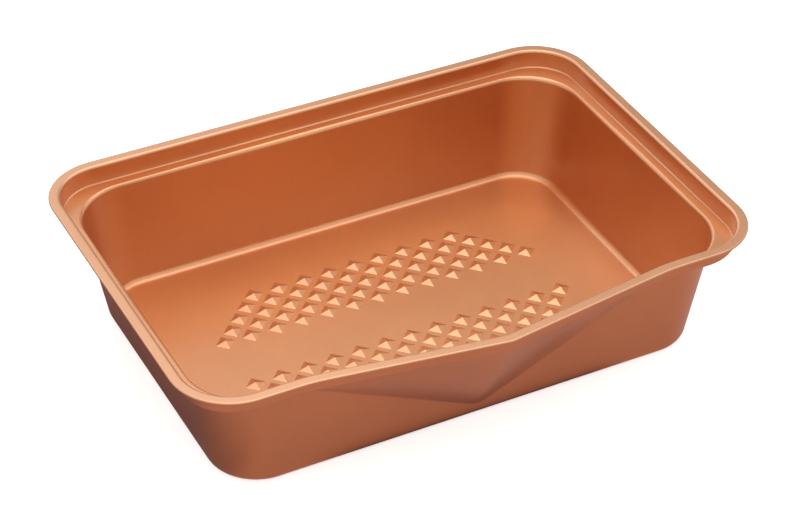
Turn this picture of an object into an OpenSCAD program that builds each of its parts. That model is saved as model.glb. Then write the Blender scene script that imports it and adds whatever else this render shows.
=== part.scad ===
// Deep roasting tin pressed from one sheet, with a stacking ledge under the rim,
// a broad V-shaped pouring lip in the front wall and a pyramid pattern on the floor.
// Millimetres, +Z up. The origin is the middle of the flat base, on the surface it stands on.
// +X runs along the length and -Y is the side of the pouring lip.

/* [Rim] */
// Length over the rim
rim_l = 400; // [388:1:440]
// Width over the rim, without the pouring lip
rim_w = 275.8; // [266:0.1:300]
// Corner radius of the rim
rim_r = 40.5; // [36:0.5:50]
// Height of the rim above the surface it stands on
rim_h = 90.5; // [80:0.1:110]
// Width of the flat rim, from its outer edge to the step
rim_flat = 7.7; // [6:0.1:10]
// Width of the hem folded back under the edge of the rim
hem_w = 4.5; // [3:0.1:5]

/* [Sheet] */
// Thickness of the coated sheet
sheet = 1; // [0.8:0.1:1.2]
// Radius in the hollow of each small bend
bend_r = 1; // [0.8:0.1:1.4]

/* [Stacking ledge] */
// Depth of the step below the rim
step_h = 13.2; // [8:0.1:18]
// How far the step leans in over its depth
step_lean = 0.7; // [0.4:0.1:1.2]
// Half length of the opening inside the ledge
mouth_x = 183.5; // [180:0.1:185]
// Half width of the opening inside the ledge
mouth_y = 121.4; // [118:0.1:123]
// Corner radius of the opening inside the ledge
mouth_r = 40.3; // [36:0.1:46]
// Bend radius from the ledge down into the wall
lip_r = 3; // [2:0.1:4]

/* [Walls and base] */
// Draft of the two end walls in degrees
draft_end = 10.2; // [7:0.1:12]
// Draft of the front and back walls in degrees
draft_side = 6.7; // [5:0.1:9]
// Radius between the walls and the base, outside
base_r = 6; // [4:0.1:9]
// Corner radius where the walls would meet the base, outside
foot_r = 33.5; // [28:0.5:38]

/* [Pouring lip] */
// How far the tip of the rim reaches past the straight front edge
lip_out = 18.8; // [12:0.1:24]
// Half width of the lip along the front edge
lip_half = 124.4; // [100:0.1:130]
// Radius at the tip of the rim
tip_r = 20; // [16:1:30]
// Radius where the straight front edge turns into the lip
turn_r = 120; // [60:10:160]
// Half width of the pouring channel where it meets the ledge
spout_half = 132.4; // [110:0.1:140]
// Height of the lowest point of the pouring channel
spout_low = 8.7; // [7.5:0.1:30]

/* [Floor pattern] */
// Distance between pyramids along a row
pitch_x = 18.95; // [17:0.05:19.1]
// Distance between rows
pitch_y = 9.7; // [9:0.05:10.2]
// Distance of the innermost rows from the middle of the floor
band_y = 24; // [18:0.1:26]
// Pyramids in the innermost row of each band
row_most = 13; // [9:1:13]
// Rows in each band
rows = 5; // [1:1:5]
// Height of a pyramid
stud_h = 2; // [1:0.1:3]
// Part of the pitch that a pyramid's base covers
stud_cover = 0.71; // [0.6:0.01:0.9]

/* [Hidden] */

coat = "#b3602f";
corner_n = 12; // facets in a quarter turn of a corner
turn_n = 3; // facets in each turn of the pouring lip
bend_n = 3; // facets in a small bend
base_n = 6; // facets between a wall and the base
reach = 6; // how far a wedge runs on into the solid it joins
through = 1; // how far a cutter runs past the face it cuts

ledge_z = rim_h - step_h; // top of the ledge
round_r = bend_r + sheet; // radius on the crown of each small bend
step_top = rim_flat; // insets of the step's inner face, at its top and at its foot
step_foot = rim_flat + step_lean;
draft = (draft_end + draft_side) / 2;
rim_x = rim_l / 2 - rim_r; // centre of a rim corner
rim_y = rim_w / 2 - rim_r;
lip_a = atan(lip_out / lip_half); // angle of the lip's edges in plan
tip_y = tip_r / cos(lip_a) - rim_w / 2 - lip_out; // centre of the tip's arc
turn_x = lip_half + turn_r * tan(lip_a / 2); // centre of the turn into the lip
turn_y = -rim_w / 2 - turn_r;

// Pouring channel: two flat facets that start on the front wall and end under the tip.
front_y = mouth_y + sheet; // outer face of the front wall at the ledge
channel_out = rim_w / 2 + lip_out - (step_foot - sheet) / cos(lip_a) - 0.3;
channel_d = channel_out - front_y; // how far the channel stands out at the ledge
channel_k = channel_d / spout_half; // slope of a facet along x
channel_s = tan(draft_side) + channel_d / (ledge_z - spout_low); // slope of a facet down z
channel_t = sheet * norm([1, channel_k, channel_s]); // the sheet measured along y

// Points of an arc about c, from angle a to angle b.
function arc(c, r, a, b, n) =
    [for (i = [0:n]) c + r * [cos(a + (b - a) * i / n), sin(a + (b - a) * i / n)]];

// Plan of the rim, moved in by inset: four corners, and the pouring lip in the front edge.
function rim_plan(inset) = concat(
    arc([rim_x, rim_y], rim_r - inset, 0, 90, corner_n),
    arc([-rim_x, rim_y], rim_r - inset, 90, 180, corner_n),
    arc([-rim_x, -rim_y], rim_r - inset, 180, 270, corner_n),
    arc([-turn_x, turn_y], turn_r + inset, 90, 90 - lip_a, turn_n),
    arc([0, tip_y], tip_r - inset, 270 - lip_a, 270 + lip_a, turn_n),
    arc([turn_x, turn_y], turn_r + inset, 90 + lip_a, 90, turn_n),
    arc([rim_x, -rim_y], rim_r - inset, 270, 360, corner_n));

// Plan of a rectangle of half sizes x and y with corners of radius r.
function tub_plan(x, y, r) = concat(
    arc([x - r, y - r], r, 0, 90, corner_n),
    arc([r - x, y - r], r, 90, 180, corner_n),
    arc([r - x, r - y], r, 180, 270, corner_n),
    arc([x - r, r - y], r, 270, 360, corner_n));

// Plan of the tub's outer face at height z, moved in by inset.
function wall_plan(z, inset) = tub_plan(
    mouth_x + sheet - (ledge_z - z) * tan(draft_end) - inset,
    mouth_y + sheet - (ledge_z - z) * tan(draft_side) - inset,
    foot_r + (mouth_r + sheet - foot_r) * z / ledge_z - inset);

// Rings of a bend between the drafted wall and a level face, for a wall moved in by inset.
// Its centre is at height zc, inside the tub for side 1 and outside it for side -1.
function wall_bend(inset, zc, r, a, b, n, side) = [for (i = [0:n])
    let (t = a + (b - a) * i / n, z = zc + r * sin(t))
    [wall_plan(z, inset + r * (sin(t) * tan(draft) + side / cos(draft) - cos(t))), z]];

// Rings of a bend in the rim or the step, about an inset and a height.
function rim_bend(c, r, a, b, n) = [for (p = arc(c, r, a, b, n)) [rim_plan(p.x), p.y]];

// Solid through a stack of [plan, height] rings with the same number of points in each.
module loft(stack) {
    n = len(stack[0][0]);
    top = (len(stack) - 1) * n;
    sides = [for (k = [0:n:top - n]) for (i = [0:n - 1])
        let (j = (i + 1) % n)
        each [[k + i, k + n + i, k + j], [k + j, k + n + i, k + n + j]]];
    polyhedron(
        points = [for (s = stack) for (p = s[0]) [p.x, p.y, s[1]]],
        faces = concat([[for (i = [0:n - 1]) i]], sides, [[for (i = [n - 1:-1:0]) top + i]]));
}

// The flat rim with its edge folded under, as a full plate.
module rim_plate() {
    difference() {
        loft(rim_bend([sheet, rim_h - sheet], sheet, 270, 90, 2 * bend_n));
        translate([0, 0, rim_h - 2 * sheet - through])
            linear_extrude(sheet + through) polygon(rim_plan(hem_w));
    }
}

// The step under the rim, as a block down to the bottom of the ledge.
module step_block() {
    loft(concat(
        rim_bend([step_foot - sheet + round_r, ledge_z - sheet + round_r], round_r, 270, 180, bend_n),
        rim_bend([step_top - sheet - bend_r, rim_h - sheet - bend_r], bend_r, 0, 90, bend_n),
        [[rim_plan(step_top - sheet - bend_r), rim_h - sheet / 2]]));
}

// The space inside the step, from the ledge up.
module step_space() {
    loft(concat(
        rim_bend([step_foot + bend_r, ledge_z + bend_r], bend_r, 270, 180, bend_n),
        rim_bend([step_top - round_r, rim_h - round_r], round_r, 0, 90, bend_n),
        [[rim_plan(step_top - round_r), rim_h + through]]));
}

// The tub below the ledge, as a block.
module tub_block() {
    r = lip_r - sheet;
    zc = ledge_z - sheet - r;
    loft(concat(
        wall_bend(0, base_r, base_r, -90, -draft, base_n, 1),
        wall_bend(0, zc, r, 180 - draft, 90, bend_n, -1),
        [[wall_bend(0, zc, r, 90, 90, 1, -1)[0][0], ledge_z - sheet / 2]]));
}

// The space inside the tub.
module tub_space() {
    r = base_r - sheet;
    zc = ledge_z - lip_r;
    loft(concat(
        wall_bend(sheet, sheet + r, r, -90, -draft, base_n, 1),
        wall_bend(sheet, zc, lip_r, 180 - draft, 90, bend_n, -1),
        [[wall_bend(sheet, zc, lip_r, 90, 90, 1, -1)[0][0], ledge_z + through]]));
}

// The pouring channel, with its facets moved in by inset and its top at height rise over the ledge.
module channel(inset, rise) {
    out = channel_out - inset;
    depth = ledge_z - spout_low + reach;
    half = spout_half + reach + channel_s * rise / channel_k;
    polyhedron(
        points = [
            [0, channel_s * depth - out, ledge_z - depth],
            [0, -channel_s * rise - out, ledge_z + rise],
            [-half, channel_k * half - channel_s * rise - out, ledge_z + rise],
            [half, channel_k * half - channel_s * rise - out, ledge_z + rise],
            [0, 3 * reach - front_y, ledge_z + rise]],
        faces = [[0, 2, 1], [0, 1, 3], [1, 2, 4, 3], [0, 4, 2], [0, 3, 4]]);
}

// Two bands of square pyramids set cornerwise, standing on height z, fewer in each outer row.
module studs(z) {
    a = stud_cover * pitch_x / 2;
    b = stud_cover * pitch_y;
    for (side = [-1, 1]) for (row = [0:rows - 1]) {
        count = row_most - row;
        for (i = [0:count - 1])
            translate([(i - (count - 1) / 2) * pitch_x, side * (band_y + row * pitch_y), z])
                polyhedron(
                    points = [[a, 0, 0], [0, b, 0], [-a, 0, 0], [0, -b, 0], [0, 0, stud_h]],
                    faces = [[0, 1, 2, 3], [1, 0, 4], [2, 1, 4], [3, 2, 4], [0, 3, 4]]);
    }
}

// The whole pressed sheet.
module pan_body() color(coat)
    difference() {
        union() {
            difference() {
                union() {
                    rim_plate();
                    step_block();
                    tub_block();
                    channel(0, 0);
                }
                step_space();
                tub_space();
                channel(channel_t, bend_r);
            }
            studs(sheet);
        }
        studs(0);
    }

pan_body();
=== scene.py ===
"""Deep roasting tin pressed from one coated sheet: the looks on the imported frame.

Metres in Blender, in the frame of the CAD: +Z up, the base on z = 0, the pouring lip towards -Y.
The shell is worked out in millimetres, as the sheet was drawn, and scaled once when it is built.
"""

from math import atan, cos, pi, radians, sin, sqrt, tan

import bpy
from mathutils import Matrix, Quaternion, Vector
from mathutils.geometry import delaunay_2d_cdt


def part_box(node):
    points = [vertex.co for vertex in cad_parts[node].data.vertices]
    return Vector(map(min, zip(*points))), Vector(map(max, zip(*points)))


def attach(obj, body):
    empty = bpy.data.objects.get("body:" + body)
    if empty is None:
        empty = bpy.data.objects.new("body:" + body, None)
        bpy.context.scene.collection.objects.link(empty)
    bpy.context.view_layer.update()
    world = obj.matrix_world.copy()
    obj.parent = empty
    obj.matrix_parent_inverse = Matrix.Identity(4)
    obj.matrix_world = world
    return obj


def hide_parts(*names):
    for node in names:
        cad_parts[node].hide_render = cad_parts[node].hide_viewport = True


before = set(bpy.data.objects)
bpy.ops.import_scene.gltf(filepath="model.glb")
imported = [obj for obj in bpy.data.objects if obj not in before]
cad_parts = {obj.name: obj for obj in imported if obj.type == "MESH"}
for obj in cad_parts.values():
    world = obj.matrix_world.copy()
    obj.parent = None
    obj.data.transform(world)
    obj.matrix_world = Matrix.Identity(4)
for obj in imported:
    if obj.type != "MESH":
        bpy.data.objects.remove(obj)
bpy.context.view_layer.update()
MM = 0.001

# ---------------------------------------------------------------- dimensions, in millimetres
_, node_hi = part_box("pan_body")
RIM_HALF_L = node_hi[0] / MM
RIM_HALF_W = node_hi[1] / MM
RIM_H = node_hi[2] / MM
RIM_R = 40.5  # corner radius of the rim
RIM_FLAT = 7.7  # from the rim's edge to the step
HEM_W = 4.5  # the edge folded back under the rim
HEM_EDGE_R, HEM_ROOT_R = 0.3, 0.1  # its cut edge, and where that meets the underside of the rim
SHEET = 1.0

STEP_H = 13.2  # depth of the step below the rim
STEP_LEAN = 0.7  # how far the step leans in over its depth
LEDGE_Z = RIM_H - STEP_H
CROWN_R = 2.0  # where the step turns out into the rim
STEP_R = 1.2  # in the hollow at the foot of the step
LIP_R = 3.0  # from the ledge down into the wall
MOUTH_X, MOUTH_Y, MOUTH_R = 183.5, 121.4, 40.3  # the opening inside the ledge

TAN_END = tan(radians(10.2))  # draft of the end walls
TAN_SIDE = tan(radians(6.7))  # draft of the front and back walls
BASE_R = 6.0  # between wall and base, outside
FOOT_R = 33.5  # corner radius at the base, outside

LIP_OUT = 18.8  # the pouring lip's tip past the straight front edge
LIP_HALF = 124.4  # half width of the lip along the front edge
LIP_ANGLE = atan(LIP_OUT / LIP_HALF)
TIP_R, TURN_R = 20.0, 120.0  # at the tip, and where the straight edge turns into the lip
SPOUT_HALF = 132.4  # half width of the pouring channel at the ledge
SPOUT_LOW = 8.7  # height of its lowest point
SPOUT_CLEAR = 0.3  # between its outer face and the step's under the tip
VALLEY = 4.0  # rounds the fold between the channel's two facets
SAME_X = 134.0  # over this half width every height shares its stations along the front

PITCH_X, PITCH_Y = 18.95, 9.7
BAND_Y = 24.0  # innermost rows of pyramids from the middle
ROW_MOST, ROWS = 13, 5  # pyramids in an innermost row, and rows on each side
STUD_H = 2.0
STUD_COVER = 0.71  # part of the pitch that a pyramid's base covers


# ---------------------------------------------------------------- plan of the tin
def mix(a, b, f):
    return a + (b - a) * f


def smooth_abs(x):
    """The size of x, with the sharp turn at 0 rounded off."""
    return sqrt(x * x + VALLEY * VALLEY)


def rim_front_y(x, inset):
    """Front edge of the rim at x, moved in by inset: straight, then out along the pouring lip."""
    x = abs(x)
    tip_r, turn_r = TIP_R - inset, TURN_R + inset
    turn_x = LIP_HALF + TURN_R * tan(LIP_ANGLE / 2)
    if x >= turn_x:
        return inset - RIM_HALF_W
    if x > turn_x - turn_r * sin(LIP_ANGLE):
        return sqrt(turn_r**2 - (turn_x - x) ** 2) - RIM_HALF_W - TURN_R
    if x > tip_r * sin(LIP_ANGLE):
        return inset / cos(LIP_ANGLE) - RIM_HALF_W - LIP_OUT + x * tan(LIP_ANGLE)
    return TIP_R / cos(LIP_ANGLE) - RIM_HALF_W - LIP_OUT - sqrt(tip_r**2 - x * x)


def spaced(narrow, count):
    """Fractions from 0 to 1 with a narrow first and last step, so that flat sides shade flat."""
    inner = [narrow + (1 - 2 * narrow) * i / count for i in range(count + 1)]
    return [0.0, *inner]


CORNER_N = 16  # stations in a corner
TIP_STEP, TIP_N, FRONT_N = 0.9, 8, 26  # stations round the tip, and from there along the front
SIDE_F = spaced(0.008, 8)  # where the stations of a straight side lie along it
BEYOND_F = [0.35, 0.7, 0.94]  # the same from the end of the lip to the corner


def front_marks():
    """Half widths of the stations along the front, close together round the tip."""
    tip = [TIP_STEP * i for i in range(TIP_N)]
    rest = [mix(tip[-1], SAME_X, i / FRONT_N) for i in range(1, FRONT_N + 1)]
    return tip + rest


MARKS = front_marks()


def stations():
    """The places round the tin where its section is drawn, counter-clockwise: (part, which, where)."""
    found = []
    for corner in range(4):
        found += [("corner", corner, i / CORNER_N) for i in range(CORNER_N)]
        if corner == 2:
            found += [("beyond", -1, f) for f in [0.0, *[1 - f for f in reversed(BEYOND_F)]]]
            found += [("front", 0, x) for x in [-m for m in reversed(MARKS[1:])] + MARKS]
            found += [("beyond", 1, f) for f in BEYOND_F]
        else:
            found += [("side", corner, f) for f in SIDE_F]
    return found


def corner_point(corner, f, half_x, half_y, r):
    sx, sy = ((1, 1), (-1, 1), (-1, -1), (1, -1))[corner]
    a = pi / 2 * (corner + f)
    return sx * (half_x - r) + r * cos(a), sy * (half_y - r) + r * sin(a)


def plan_point(station, half_x, half_y, r, front):
    """Where a station lies on a rounded rectangle whose front edge is the function front(x)."""
    part, which, f = station
    if part == "corner":
        return corner_point(which, f, half_x, half_y, r)
    if part == "side":
        x0, y0 = corner_point(which, 1, half_x, half_y, r)
        x1, y1 = corner_point((which + 1) % 4, 0, half_x, half_y, r)
        return mix(x0, x1, f), mix(y0, y1, f)
    if part == "beyond":
        reach = f if which > 0 else 1 - f
        x = which * mix(SAME_X, half_x - r, reach)
        return x, front(x)
    return f, front(f)


def rim_point(station, inset, z):
    """A point at height z on the rim's outline, moved in by inset."""
    x, y = plan_point(
        station,
        RIM_HALF_L - inset,
        RIM_HALF_W - inset,
        RIM_R - inset,
        lambda x: rim_front_y(x, inset),
    )
    return Vector((x, y, z))


def wall_sizes(z, inset):
    """Half sizes and corner radius of the tub's outer face at height z, moved in by inset."""
    return (
        MOUTH_X + SHEET - (LEDGE_Z - z) * TAN_END - inset,
        MOUTH_Y + SHEET - (LEDGE_Z - z) * TAN_SIDE - inset,
        mix(FOOT_R, MOUTH_R + SHEET, z / LEDGE_Z) - inset,
    )


def wall_point(station, inset, z):
    """A point at height z on the tub's wall, without the pouring channel."""
    half_x, half_y, r = wall_sizes(z, inset)
    x, y = plan_point(station, half_x, half_y, r, lambda x: -half_y)
    return Vector((x, y, z))


SWELL = 2.0  # how far a facet of the channel curves out between its crease and the ledge
SWELL_F = (0.25, 0.5, 0.75)  # where the points of that curve lie along it
SWELL_T = 4.0  # half length of each of the bends that the curve is made of
LIP_ROOM = 4.0  # straight stretch kept under the ledge for its bend
CREASE_DROP = 5.2  # the crease keeps this far below the ledge, so that both bends have room


class Channel:
    """The pouring channel: two facets that leave the front wall and end under the tip of the rim."""

    def __init__(self, inset):
        tip = RIM_HALF_W + LIP_OUT - (RIM_FLAT + STEP_LEAN - SHEET) / cos(LIP_ANGLE) - SPOUT_CLEAR
        front = MOUTH_Y + SHEET
        self.k = (tip - front) / SPOUT_HALF
        self.s = TAN_SIDE + (tip - front) / (LEDGE_Z - SPOUT_LOW)
        moved = inset * sqrt(1 + self.k**2 + self.s**2)
        self.tip, self.front = tip - moved, front - inset
        self.inset = inset

    def y(self, x, z):
        """Where the facet at x lies at height z."""
        return self.k * smooth_abs(x) + self.s * (LEDGE_Z - z) - self.tip

    def crease_z(self, x):
        """Height where the facet at x runs out into the wall."""
        out = self.tip - self.front - self.k * smooth_abs(x)
        return LEDGE_Z - out / (self.s - TAN_SIDE)

    def top(self, station, z):
        """The wall or the facet at the ledge, whichever stands further out."""
        p = wall_point(station, self.inset, z)
        if station[0] == "front":
            p.y = min(p.y, self.y(p.x, z))
        return p

    def crease(self, station, top_z):
        """Where the facet leaves the wall, kept CREASE_DROP or more below the ledge."""
        z = top_z - CREASE_DROP
        if station[0] == "front":
            z = min(z, self.crease_z(station[2]))
        p = wall_point(station, self.inset, z)
        if station[0] == "front" and z == top_z - CREASE_DROP:
            p.y = min(p.y, self.y(p.x, z))
        return p

    def swell(self, station, top_z):
        """Points up the facet from its crease: it curves out a little, most in the middle of the lip."""
        low, high = self.crease(station, top_z), self.top(station, top_z)
        rise = high - low
        usable = 1 - LIP_ROOM / rise.length
        share = 0.0
        if station[0] == "front":
            share = max(0.0, 1 - self.k * smooth_abs(station[2]) / (self.tip - self.front))
        middle = Vector((0, SWELL * share, 0))
        return [low + rise * f * usable - middle * 4 * f * (1 - f) for f in SWELL_F]


CREASE_T = 1.6  # half length of the bend along the crease
FLOOR_IN = 12.0  # how far in from the wall the section's last point lies


def section(station):
    """The tin's section at a station, from the floor over the rim to the base: (point, radius, steps)."""
    inner, outer = Channel(SHEET), Channel(0)
    floor_w = wall_sizes(SHEET, SHEET)
    base_w = wall_sizes(0, 0)

    def level(sizes, inset, z):
        hx, hy, r = (v - inset for v in sizes)
        x, y = plan_point(station, hx, hy, r, lambda x: -hy)
        return Vector((x, y, z))

    foot = RIM_FLAT + STEP_LEAN
    under = LEDGE_Z - SHEET
    return [
        (level(floor_w, FLOOR_IN, SHEET), 0, 0),
        (level(floor_w, 0, SHEET), BASE_R - SHEET, 12),
        (inner.crease(station, LEDGE_Z), -CREASE_T, 6),
        *[(p, -SWELL_T, 2) for p in inner.swell(station, LEDGE_Z)],
        (inner.top(station, LEDGE_Z), LIP_R, 8),
        (rim_point(station, foot, LEDGE_Z), STEP_R, 5),
        (rim_point(station, RIM_FLAT, RIM_H), CROWN_R, 6),
        (rim_point(station, 0, RIM_H), SHEET, 5),
        (rim_point(station, 0, RIM_H - 2 * SHEET), SHEET, 5),
        (rim_point(station, HEM_W, RIM_H - 2 * SHEET), HEM_EDGE_R, 2),
        (rim_point(station, HEM_W, RIM_H - SHEET), HEM_ROOT_R, 1),
        (rim_point(station, RIM_FLAT - SHEET, RIM_H - SHEET), CROWN_R - SHEET, 4),
        (rim_point(station, foot - SHEET, under), STEP_R + SHEET, 6),
        (outer.top(station, under), LIP_R - SHEET, 6),
        *[(p, -SWELL_T, 2) for p in reversed(outer.swell(station, under))],
        (outer.crease(station, under), -CREASE_T, 6),
        (level(base_w, 0, 0), BASE_R, 12),
        (level(base_w, FLOOR_IN, 0), 0, 0),
    ]


SUPPORT = 0.5  # a row this far past each bend keeps the flat stretches flat in shading
SUPPORT_MOST = 0.3  # but not further than this part of what is left flat
BENDS_MOST = 0.96  # part of a stretch that the bends at its two ends may take


def bent(keys):
    """Points of a section whose corners are rounded: a radius, or minus the tangent's length."""
    pts = [k[0] for k in keys]
    lens = [(b - a).length for a, b in zip(pts, pts[1:])]
    tangents = [0.0]
    for i in range(1, len(pts) - 1):
        u = (pts[i] - pts[i - 1]).normalized()
        v = (pts[i + 1] - pts[i]).normalized()
        size = keys[i][1]
        angle = u.angle(v, 0)
        tangents.append(-size if size < 0 else size * tan(angle / 2))
    tangents.append(0.0)
    for i, length in enumerate(lens):
        total = tangents[i] + tangents[i + 1]
        if total > BENDS_MOST * length:
            squeeze = BENDS_MOST * length / total
            tangents[i] *= squeeze
            tangents[i + 1] *= squeeze
    rows = [pts[0]]
    for i in range(1, len(pts) - 1):
        u = (pts[i - 1] - pts[i]).normalized()
        v = (pts[i + 1] - pts[i]).normalized()
        t = tangents[i]
        a, b = pts[i] + u * t, pts[i] + v * t
        w = sin(u.angle(v, pi) / 2)
        free_in = lens[i - 1] - tangents[i - 1] - t
        free_out = lens[i] - tangents[i + 1] - t
        rows.append(a + u * min(SUPPORT, SUPPORT_MOST * free_in))
        steps = keys[i][2]
        for j in range(steps + 1):
            f = j / steps
            ca, cp, cb = (1 - f) ** 2, 2 * w * f * (1 - f), f * f
            rows.append((a * ca + pts[i] * cp + b * cb) / (ca + cp + cb))
        rows.append(b + v * min(SUPPORT, SUPPORT_MOST * free_out))
    rows.append(pts[-1])
    return rows


# ---------------------------------------------------------------- pyramids
FOOT = 0.06  # half width of the bend at a pyramid's foot, as part of its base
TIP = 0.08  # how far down from the apex its rounding runs
RIDGE = 0.05  # half width of the rounding along each ridge
RIDGE_MOST = 0.3  # but near the apex not more than this part of the ring
CREST = 0.55  # how far the rounding's crest stands back from the sharp ridge, as part of it
APRON = 0.05  # a level ring round the foot, so that the floor shades flat


def stud_centres():
    for side in (-1, 1):
        for row in range(ROWS):
            count = ROW_MOST - row
            for i in range(count):
                yield (i - (count - 1) / 2) * PITCH_X, side * (BAND_Y + row * PITCH_Y)


def stud_rings():
    """One pyramid about its centre: rings of (x, y, rise) from the level floor to just under the apex."""
    a, b = STUD_COVER * PITCH_X / 2, STUD_COVER * PITCH_Y
    foot = [1 + FOOT * f for f in (1, 1 / 3, -1 / 3, -1)]
    levels = [(1 + FOOT + APRON, 0.0)] + [(s, (1 + FOOT - s) ** 2 / (4 * FOOT)) for s in foot]
    levels += [(s, 1 - TIP / 2 - s * s / (2 * TIP)) for s in (TIP, TIP / 2)]
    rings = []
    for size, rise in levels:
        c = min(RIDGE, RIDGE_MOST * size)
        ring = []
        for p, q in ((1, 0), (0, 1), (-1, 0), (0, -1)):
            for along, across in ((size - c, -c), (size - CREST * c, 0), (size - c, c)):
                ring.append((a * (p * along - q * across), b * (q * along + p * across), STUD_H * rise))
        rings.append(ring)
    return rings


STUD = stud_rings()
STUD_TOP = STUD_H * (1 - TIP / 2)
STUD_REACH = 1 + FOOT + APRON


# ---------------------------------------------------------------- the shell
SAME_POINT = 1e-4  # points of the floor closer than this are one
STUD_INSIDE = 0.98  # a triangle with its middle this far inside a foot isn't floor


class Builder:
    """Collects vertices and faces, scaled to metres."""

    def __init__(self):
        self.verts, self.faces = [], []

    def add(self, p):
        self.verts.append((p[0] * MM, p[1] * MM, p[2] * MM))
        return len(self.verts) - 1

    def face(self, ids, flip=False):
        self.faces.append(tuple(reversed(ids)) if flip else tuple(ids))

    def strip(self, lower, upper, flip=False):
        n = len(lower)
        for i in range(n):
            j = (i + 1) % n
            self.face((lower[i], lower[j], upper[j], upper[i]), flip)

    def floor(self, edge, z, flip):
        """Fills the level floor inside a ring of vertices, round the feet of the pyramids."""
        flat = [(self.verts[i][0] / MM, self.verts[i][1] / MM) for i in edge]
        ids = list(edge)
        loops = [list(range(len(edge)))]
        centres = list(stud_centres())
        for cx, cy in centres:
            below = None
            for k, ring in enumerate(STUD):
                here = [self.add((cx + x, cy + y, z + rise)) for x, y, rise in ring]
                if k == 0:
                    loops.append(list(range(len(ids), len(ids) + len(here))))
                    flat += [(cx + x, cy + y) for x, y, _ in ring]
                    ids += here
                else:
                    self.strip(below, here, flip)
                below = here
            apex = self.add((cx, cy, z + STUD_TOP))
            for i in range(len(below)):
                self.face((below[i], below[(i + 1) % len(below)], apex), flip)
        edges = [pair for loop in loops for pair in zip(loop, loop[1:] + loop[:1])]
        flat = [Vector(p) for p in flat]
        points, _, tris, source, _, _ = delaunay_2d_cdt(flat, edges, [], 0, SAME_POINT)
        a, b = STUD_COVER * PITCH_X / 2 * STUD_REACH, STUD_COVER * PITCH_Y * STUD_REACH
        for tri in tris:
            mid = sum((points[i] for i in tri), Vector((0, 0))) / 3
            if any(abs(mid.x - x) / a + abs(mid.y - y) / b < STUD_INSIDE for x, y in centres):
                continue
            self.face([ids[source[i][0]] for i in tri], flip)


def shade_by_area(mesh):
    """Smooth shading in which wide faces keep their own normal and only the narrow bends turn."""
    sums = [Vector((0, 0, 0)) for _ in mesh.vertices]
    for face in mesh.polygons:
        face.use_smooth = True
        for v in face.vertices:
            sums[v] += face.normal * face.area
    mesh.normals_split_custom_set_from_vertices([n.normalized() for n in sums])


def build_shell():
    made = Builder()
    columns = [bent(section(s)) for s in stations()]
    rows = [[made.add(col[k]) for col in columns] for k in range(len(columns[0]))]
    for low, high in zip(rows, rows[1:]):
        made.strip(low, high, flip=True)
    made.floor(rows[0], SHEET, flip=False)
    made.floor(rows[-1], 0, flip=True)
    mesh = bpy.data.meshes.new("pan_shell")
    mesh.from_pydata(made.verts, [], made.faces)
    mesh.validate()
    mesh.update()
    shade_by_area(mesh)
    shell = bpy.data.objects.new("pan_shell", mesh)
    bpy.context.scene.collection.objects.link(shell)
    return shell


# ---------------------------------------------------------------- material
def node(tree, kind, at, **values):
    """A new node at a place in the editor, with its properties or inputs set by name."""
    made = tree.nodes.new(kind)
    made.location = at
    for key, value in values.items():
        if hasattr(made, key):
            setattr(made, key, value)
        else:
            made.inputs[key].default_value = value
    return made


def ramp_stops(ramp, stops):
    """Sets the stops (position, colour) of a colour ramp, in rising order."""
    ramp.color_ramp.elements[0].position = 0.0
    while len(ramp.color_ramp.elements) < len(stops):
        ramp.color_ramp.elements.new(0.5)
    for el, (pos, colour) in zip(ramp.color_ramp.elements, stops):
        el.position = pos
        el.color = (*colour, 1)


def remapped(tree, at, value, low, high, to_low=0.0, to_high=1.0, curve="LINEAR"):
    """The value carried from low..high over to to_low..to_high, and held at the ends."""
    made = node(tree, "ShaderNodeMapRange", at, interpolation_type=curve)
    for key, number in (("From Min", low), ("From Max", high), ("To Min", to_low), ("To Max", to_high)):
        made.inputs[key].default_value = number
    tree.links.new(value, made.inputs["Value"])
    return made.outputs["Result"]


def joined(tree, at, operation, *values):
    """The values taken together by a math node."""
    made = node(tree, "ShaderNodeMath", at, operation=operation)
    for value, socket in zip(values, made.inputs):
        tree.links.new(value, socket)
    return made.outputs[0]


COPPER_DEEP = (0.64, 0.235, 0.06)
COPPER_LIGHT = (0.7, 0.27, 0.072)
# painted highlight colour, laid on convex edges and over the rim's top
COPPER_HIGHLIGHT = (0.7, 0.46, 0.3)
HIGHLIGHT_EDGE, HIGHLIGHT_RIM = 0.35, 0.25  # how far an edge and the rim's top turn that colour
EDGE_FROM, EDGE_TO = 0.52, 0.6  # pointiness from which an edge takes the painted highlight, and where fully
RIM_FROM, RIM_TO = 1.2, 0.2  # the same for depths below the top of the rim
FLECK = 0.1  # how far single flakes differ in colour
ROUGH, ROUGH_SPREAD = 0.42, 0.04
COAT_ROUGH, COAT_IOR = 0.28, 2.0

FLAKES, CLOUDS, PEEL, DRAW = 2600.0, 14.0, 520.0, 70.0  # features to a metre
DRAW_STRETCH = 0.08  # the noise of the draw marks is scaled by this down the wall, where they are long
FLAKE_BUMP = (0.25, 0.00003)  # strength, height in metres
PEEL_BUMP = (0.35, 0.00004)
DRAW_BUMP = (0.3, 0.0002)


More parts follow.
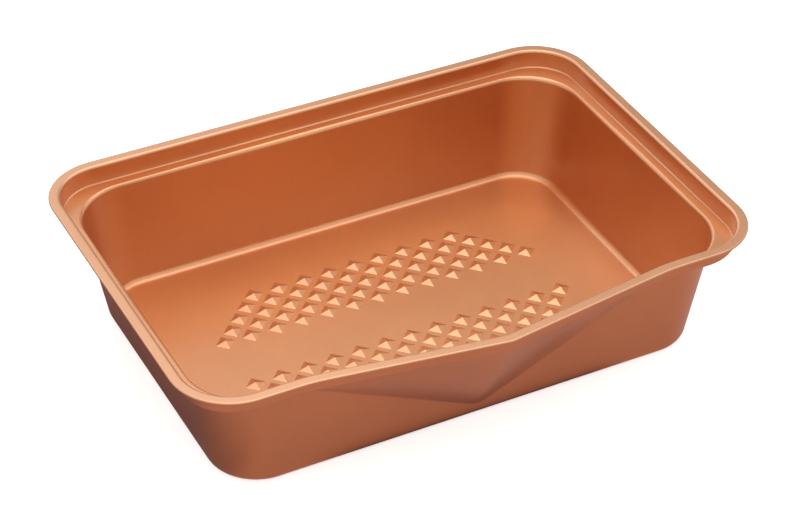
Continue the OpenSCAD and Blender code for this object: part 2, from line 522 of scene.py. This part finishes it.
def copper_coating():
    """Satin copper-coloured coating: fine metallic flake, faint orange peel, draw marks, and a painted
    highlight on convex edges and the rim's top.
    """
    mat = bpy.data.materials.new("copper_coating")
    mat.use_nodes = True
    tree = mat.node_tree
    tree.nodes.clear()
    link = tree.links.new
    out = node(tree, "ShaderNodeOutputMaterial", (1200, 0))
    skin = node(tree, "ShaderNodeBsdfPrincipled", (900, 0))
    where = node(tree, "ShaderNodeTexCoord", (-1200, 0))

    flake = node(tree, "ShaderNodeTexVoronoi", (-900, 300), Scale=FLAKES)
    cloud = node(tree, "ShaderNodeTexNoise", (-900, 50), Scale=CLOUDS, Detail=4.0, Roughness=0.55)
    peel = node(tree, "ShaderNodeTexNoise", (-900, -200), Scale=PEEL, Detail=2.0, Roughness=0.5)
    draw = node(tree, "ShaderNodeTexNoise", (-900, -450), Scale=DRAW, Detail=3.0, Roughness=0.6)
    stretch = node(tree, "ShaderNodeMapping", (-1050, -450), Scale=(1.0, 1.0, DRAW_STRETCH))
    height = node(tree, "ShaderNodeSeparateXYZ", (-900, 800))
    for texture in (flake, cloud, peel, stretch, height):
        link(where.outputs["Object"], texture.inputs["Vector"])
    link(stretch.outputs["Vector"], draw.inputs["Vector"])

    # Colour: the copper, a little lighter and darker in broad soft patches and from flake to flake.
    tone = node(tree, "ShaderNodeValToRGB", (-550, 50))
    ramp_stops(tone, ((0.3, COPPER_DEEP), (0.7, COPPER_LIGHT)))
    link(cloud.outputs["Fac"], tone.inputs[0])
    fleck = node(tree, "ShaderNodeMix", (-200, 150), data_type="RGBA", blend_type="OVERLAY")
    fleck.inputs["Factor"].default_value = FLECK
    link(tone.outputs[0], fleck.inputs["A"])
    link(flake.outputs["Color"], fleck.inputs["B"])

    # Painted highlight: convex edges and the top of the rim are made paler, as they look where they catch
    # the light.
    shape = node(tree, "ShaderNodeNewGeometry", (-900, 600))
    pointed = shape.outputs["Pointiness"]
    edge = remapped(tree, (-550, 600), pointed, EDGE_FROM, EDGE_TO, 0.0, HIGHLIGHT_EDGE)
    rim_from, rim_to = (RIM_H - RIM_FROM) * MM, (RIM_H - RIM_TO) * MM
    top = remapped(tree, (-550, 800), height.outputs["Z"], rim_from, rim_to, 0.0, HIGHLIGHT_RIM)
    painted_highlight = node(tree, "ShaderNodeMix", (150, 250), data_type="RGBA")
    link(joined(tree, (-250, 700), "MAXIMUM", edge, top), painted_highlight.inputs["Factor"])
    link(fleck.outputs["Result"], painted_highlight.inputs["A"])
    painted_highlight.inputs["B"].default_value = (*COPPER_HIGHLIGHT, 1)
    link(painted_highlight.outputs["Result"], skin.inputs["Base Color"])

    marks = draw.outputs["Fac"]
    rough = remapped(tree, (-200, -100), marks, 0.0, 1.0, ROUGH - ROUGH_SPREAD, ROUGH + ROUGH_SPREAD)
    link(rough, skin.inputs["Roughness"])

    flakes, skin_peel = flake.outputs["Distance"], peel.outputs["Fac"]
    bumps = ((flakes, FLAKE_BUMP), (skin_peel, PEEL_BUMP), (marks, DRAW_BUMP))
    below = None
    for k, (relief, (strength, depth)) in enumerate(bumps):
        bump = node(tree, "ShaderNodeBump", (150 + 200 * k, -300), Strength=strength, Distance=depth)
        link(relief, bump.inputs["Height"])
        if below:
            link(below, bump.inputs["Normal"])
        below = bump.outputs["Normal"]
    link(below, skin.inputs["Normal"])

    skin.inputs["Metallic"].default_value = 1.0
    skin.inputs["Coat Weight"].default_value = 1.0
    skin.inputs["Coat Roughness"].default_value = COAT_ROUGH
    skin.inputs["Coat IOR"].default_value = COAT_IOR
    link(skin.outputs[0], out.inputs["Surface"])
    return mat


# ---------------------------------------------------------------- build
shell = build_shell()
shell.data.materials.append(copper_coating())
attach(shell, "root")
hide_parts("pan_body")


# ---------------------------------------------------------------- floor, light, camera
FLOOR_HALF = 6.0
FLOOR_SEEN, GLOW_SEEN = (0.92, 0.92, 0.92), 0.55
# the mirrored floor: its glow is painted light
FLOOR_MIRRORED, GLOW_MIRRORED = (0.28, 0.18, 0.15), 0.3
BOUNCE_GLOW = (1.0, 0.65, 0.6)  # painted glow of the mirrored floor, standing in for the light the tin throws back on to it
MIRRORED_Z = -0.0004  # just under the floor that is seen, so that the two don't touch
# Painted shade on the mirrored floor, left of the tin and under the lip, where it also loses its glow.
PAINTED_SHADE = (0.25, 0.155, 0.17)
SHADE_LEFT_X = (-0.155, -0.175)  # where the painted shade left of the tin fades in, going away from the tin and then along it
SHADE_LEFT_Y = (-0.18, -0.04)
SHADOW_X = (0.12, 0.08)  # the same for the shadow under the lip, from its ends and from its front
SHADOW_Y = (-0.126, -0.112)

# Brightness of the surroundings against the sine of the elevation: from straight down to straight up.
SKY = ((-1.0, 0.3), (-0.3, 0.35), (0.0, 0.46), (0.35, 1.05), (0.6, 1.12), (0.8, 0.8), (1.0, 0.6))
# A broad bright panel stands behind the tin, with a dimmer gap to its right. Each has a direction, the
# closeness to it where the change begins and where it is full, and the brightness before and after.
PANEL_AT, PANEL = (0.3, 0.74, 0.6), (0.66, 0.96, 1.0, 1.25)
GAP_AT, GAP = (0.56, 0.62, 0.55), (0.9, 0.985, 1.0, 0.25)
SOFTBOX_AT, SOFTBOX_SIZE, SOFTBOX = (0.2, 0.2, 1.6), (1.4, 1.9), 12.0


def studio_floor(name, z, colour, glow, glow_colour=(1, 1, 1)):
    """A matt sheet; the glow keeps white paper white in the object's faint shadow."""
    mesh = bpy.data.meshes.new(name)
    corners = [(x * FLOOR_HALF, y * FLOOR_HALF, z) for x, y in ((-1, -1), (1, -1), (1, 1), (-1, 1))]
    mesh.from_pydata(corners, [], [(0, 1, 2, 3)])
    floor = bpy.data.objects.new(name, mesh)
    bpy.context.scene.collection.objects.link(floor)
    mat = bpy.data.materials.new(name)
    mat.use_nodes = True
    paint = mat.node_tree.nodes["Principled BSDF"]
    paint.inputs["Base Color"].default_value = (*colour, 1)
    paint.inputs["Roughness"].default_value = 0.9
    paint.inputs["Specular IOR Level"].default_value = 0.0
    paint.inputs["Emission Color"].default_value = (*glow_colour, 1)
    paint.inputs["Emission Strength"].default_value = glow
    floor.data.materials.append(mat)
    floor.visible_shadow = False
    return floor, mat.node_tree, paint


def painted_shade_mask(tree):
    """1 in the painted shade left of the tin and in the painted shadow under the pouring lip, with soft
    edges.
    """
    spot = node(tree, "ShaderNodeTexCoord", (-1000, 0))
    place = node(tree, "ShaderNodeSeparateXYZ", (-800, 0))
    tree.links.new(spot.outputs["Object"], place.inputs[0])
    x, y = place.outputs["X"], place.outputs["Y"]
    from_middle = joined(tree, (-600, 400), "ABSOLUTE", x)
    areas = ((x, SHADE_LEFT_X, SHADE_LEFT_Y), (from_middle, SHADOW_X, SHADOW_Y))
    parts = []
    for k, (across, x_fade, y_fade) in enumerate(areas):
        fades = [
            remapped(tree, (-400, 400 * k), across, *x_fade, curve="SMOOTHSTEP"),
            remapped(tree, (-400, 400 * k - 200), y, *y_fade, curve="SMOOTHSTEP"),
        ]
        parts.append(joined(tree, (-200, 400 * k), "MULTIPLY", *fades))
    return joined(tree, (0, 200), "MAXIMUM", *parts)


def studio_sky():
    """Soft surroundings: bright above the horizon, with the panel and the gap behind the tin."""
    world = bpy.data.worlds.new("studio")
    world.use_nodes = True
    sky = world.node_tree
    sky.nodes.clear()
    out = node(sky, "ShaderNodeOutputWorld", (600, 0))
    background = node(sky, "ShaderNodeBackground", (400, 0))
    where = node(sky, "ShaderNodeTexCoord", (-400, 0))
    split = node(sky, "ShaderNodeSeparateXYZ", (-200, 0))
    ramp = node(sky, "ShaderNodeValToRGB", (100, 0))
    ramp_stops(ramp, [((height + 1) / 2, (value, value, value)) for height, value in SKY])
    sky.links.new(where.outputs["Generated"], split.inputs[0])
    sky.links.new(remapped(sky, (-50, 0), split.outputs["Z"], -1.0, 1.0), ramp.inputs[0])
    sky.links.new(ramp.outputs[0], background.inputs["Color"])
    sky.links.new(background.outputs[0], out.inputs[0])

    strengths = []
    for k, (direction, fade) in enumerate(((GAP_AT, GAP), (PANEL_AT, PANEL))):
        toward = node(sky, "ShaderNodeVectorMath", (-200, -250 * (k + 1)), operation="DOT_PRODUCT")
        toward.inputs[1].default_value = direction
        sky.links.new(where.outputs["Generated"], toward.inputs[0])
        closeness = toward.outputs["Value"]
        strengths.append(remapped(sky, (0, -250 * (k + 1)), closeness, *fade, curve="SMOOTHSTEP"))
    sky.links.new(joined(sky, (200, -250), "MULTIPLY", *strengths), background.inputs["Strength"])
    return world


def area_light(name, at, target, size, power):
    data = bpy.data.lights.new(name, "AREA")
    data.shape = "RECTANGLE"
    data.size, data.size_y = size
    data.energy = power
    made = bpy.data.objects.new(name, data)
    made.location = at
    made.rotation_mode = "QUATERNION"
    made.rotation_quaternion = (Vector(target) - Vector(at)).to_track_quat("-Z", "Y")
    bpy.context.scene.collection.objects.link(made)


# The floor that is seen is white. The coating mirrors a greyer one, which glows with a painted warm
# bounce from the tin, with painted shade to the left of the tin and a painted shadow under its lip.
seen, _, _ = studio_floor("studio_floor", 0.0, FLOOR_SEEN, GLOW_SEEN)
seen.visible_diffuse = seen.visible_glossy = False
mirrored, tree, paint = studio_floor(
    "studio_floor_mirrored", MIRRORED_Z, FLOOR_MIRRORED, GLOW_MIRRORED, BOUNCE_GLOW
)
mirrored.visible_camera = False
shade_mask = painted_shade_mask(tree)
for name, plain, darkened in (
    ("Base Color", FLOOR_MIRRORED, PAINTED_SHADE),
    ("Emission Color", BOUNCE_GLOW, (0, 0, 0)),
):
    blend = node(tree, "ShaderNodeMix", (200, 0), data_type="RGBA")
    blend.inputs["A"].default_value = (*plain, 1)
    blend.inputs["B"].default_value = (*darkened, 1)
    tree.links.new(shade_mask, blend.inputs["Factor"])
    tree.links.new(blend.outputs["Result"], paint.inputs[name])

area_light("overhead_softbox", SOFTBOX_AT, (0, 0, 0), SOFTBOX_SIZE, SOFTBOX)
scene = bpy.context.scene
scene.world = studio_sky()
scene.view_settings.view_transform = "Standard"

# The camera looks at a point above the middle of the tin, from the front left and above.
CAM_AZ, CAM_EL, CAM_ROLL = radians(-27.263), radians(36.595), radians(0.349)
CAM_DIST = 1.63693
CAM_TARGET = Vector((0.00628, 0.00608, 0.04))
SENSOR, LENS = 36.0, 111.0645

cam_data = bpy.data.cameras.new("photo_view")
camera = bpy.data.objects.new("photo_view", cam_data)
scene.collection.objects.link(camera)
scene.camera = camera
back = Vector((sin(CAM_AZ) * cos(CAM_EL), -cos(CAM_AZ) * cos(CAM_EL), sin(CAM_EL)))
camera.location = CAM_TARGET + back * CAM_DIST
cam_data.sensor_width = SENSOR
cam_data.lens = LENS
cam_data.clip_start, cam_data.clip_end = 0.05, 50
camera.rotation_mode = "QUATERNION"
camera.rotation_quaternion = (-back).to_track_quat("-Z", "Y") @ Quaternion((0, 0, 1), CAM_ROLL)
